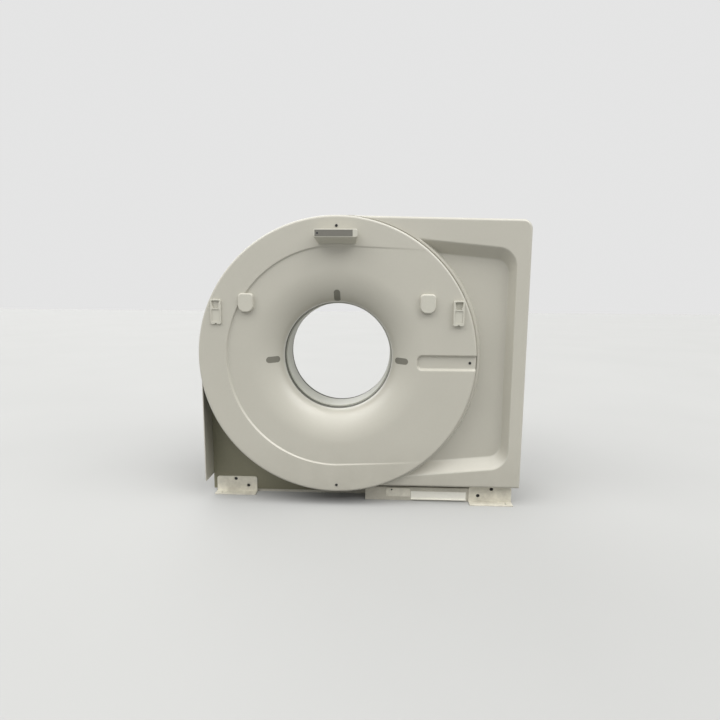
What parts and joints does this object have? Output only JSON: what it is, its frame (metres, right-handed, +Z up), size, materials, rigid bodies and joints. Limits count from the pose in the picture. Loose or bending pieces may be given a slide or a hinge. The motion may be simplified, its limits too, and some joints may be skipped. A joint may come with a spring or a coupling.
{
  "type": "ct scanner",
  "caption": "Computed tomography gantry: a round front disc with a funnel-mouthed bore, a wing at the right, covers, floor frame, and a belt-driven rotor inside.",
  "frame": {"origin": "on the floor, straight under the point where the bore's axis meets the scan plane", "axes": "+X to the viewer's right along the front, +Y into the bore from the front to the rear, +Z up"},
  "size_m": [2.132, 0.881, 1.9068],
  "materials": {
    "cover_paint": "satin warm off-white",
    "moulded_white": "satin warm off-white",
    "smoked_window": "smoked, smooth",
    "lens_glass": "dark and glossy",
    "laser_window": "smoked grey, smooth",
    "black_housing": "matt black",
    "black_screw": "black",
    "zinc_steel": "zinc plated",
    "gasket_rubber": "dark grey, matt",
    "tunnel_shell": "pale grey, satin",
    "olive_panel": "olive grey, matt",
    "grey_plastic": "grey, matt",
    "fan_frame": "black, matt",
    "fan_blade": "black, satin",
    "base_paint": "dark grey, matt",
    "galvanised": "galvanised, a little scuffed",
    "bright_sill": "bright zinc",
    "cast_aluminium": "machined casting",
    "stator_paint": "grey, satin",
    "bearing_steel": "ground",
    "roller_steel": "polished",
    "slip_ring_resin": "brown resin with metal tracks",
    "tube_housing": "pale, satin",
    "collimator_metal": "blasted",
    "tank_paint": "pale grey, satin",
    "unit_aluminium": "extruded, finned",
    "unit_blue_grey": "blue-grey, satin",
    "detector_housing": "anodised",
    "detector_face": "dark, matt",
    "motor_paint": "dark, satin",
    "pulley_steel": "turned",
    "belt_rubber": "black",
    "cabinet_paint": "light grey, satin",
    "computer_case": "dark grey, satin"
  },
  "bodies": {
    "gantry": {"base_frame": "base_paint", "bearing_outer_race": "bearing_steel", "bore_gasket": "gasket_rubber", "brush_block": "black_housing", "control_computer": "computer_case", "cover_posts": "zinc_steel", "cover_screws": "black_screw", "display_lens": "lens_glass", "display_pod_housing": "moulded_white", "display_window": "smoked_window", "drive_belt": "belt_rubber", "drive_motor": "motor_paint", "front_disc_cover": "cover_paint", "front_left_bracket": "galvanised", "front_right_bracket": "galvanised", "left_laser_module": "black_housing", "left_laser_window": "laser_window", "left_remote_holder": "moulded_white", "left_side_cover": "cover_paint", "left_tablet_dock": "moulded_white", "lower_fan_frame": "fan_frame", "lower_front_panel": "olive_panel", "middle_guard_plate": "galvanised", "power_cabinet": "cabinet_paint", "rear_cover": "cover_paint", "rear_gasket": "gasket_rubber", "rear_left_bracket": "galvanised", "rear_right_bracket": "galvanised", "rear_vent_grille": "grey_plastic", "right_laser_module": "black_housing", "right_laser_window": "laser_window", "right_remote_holder": "moulded_white", "right_side_cover": "cover_paint", "right_tablet_dock": "moulded_white", "sill_plate": "bright_sill", "stator_frame": "stator_paint", "top_laser_module": "black_housing", "top_laser_window": "laser_window", "tunnel_ring": "tunnel_shell", "upper_fan_frame": "fan_frame", "wing_front_cover": "cover_paint", "wing_top_cover": "cover_paint"},
    "rotor": {"rotor_drum": "cast_aluminium", "bearing_inner_race": "bearing_steel", "slip_ring": "slip_ring_resin", "xray_tube_housing": "tube_housing", "tube_collimator": "collimator_metal", "hv_tank": "tank_paint", "inverter_unit": "unit_aluminium", "tube_cooler": "unit_aluminium", "control_unit": "unit_blue_grey", "detector_arc": "detector_housing", "detector_modules": "detector_face"},
    "rollers": {"bearing_rollers": "roller_steel"},
    "pulley": {"motor_pulley": "pulley_steel"},
    "upper_fan": {"upper_fan_rotor": "fan_blade"},
    "lower_fan": {"lower_fan_rotor": "fan_blade"}
  },
  "joints": [
    {"name": "rotor_spin", "type": "hinge", "parent": "gantry", "child": "rotor", "pos_m": [0, 0, 1], "axis": [0, 1, 0], "continuous": true},
    {"name": "rollers_orbit", "type": "hinge", "parent": "gantry", "child": "rollers", "pos_m": [0, 0, 1], "axis": [0, 1, 0], "continuous": true},
    {"name": "pulley_spin", "type": "hinge", "parent": "gantry", "child": "pulley", "pos_m": [-0.69, 0.078, 0.31], "axis": [0, 1, 0], "continuous": true},
    {"name": "upper_fan_spin", "type": "hinge", "parent": "gantry", "child": "upper_fan", "pos_m": [0.985, 0.44, 1.34], "axis": [0, 1, 0], "continuous": true},
    {"name": "lower_fan_spin", "type": "hinge", "parent": "gantry", "child": "lower_fan", "pos_m": [0.985, 0.44, 1.04], "axis": [0, 1, 0], "continuous": true}
  ],
  "couplings": [
    {"joint": "rollers_orbit", "follows": "rotor_spin", "ratio": 0.4937},
    {"joint": "pulley_spin", "follows": "rotor_spin", "ratio": 12.438}
  ]
}
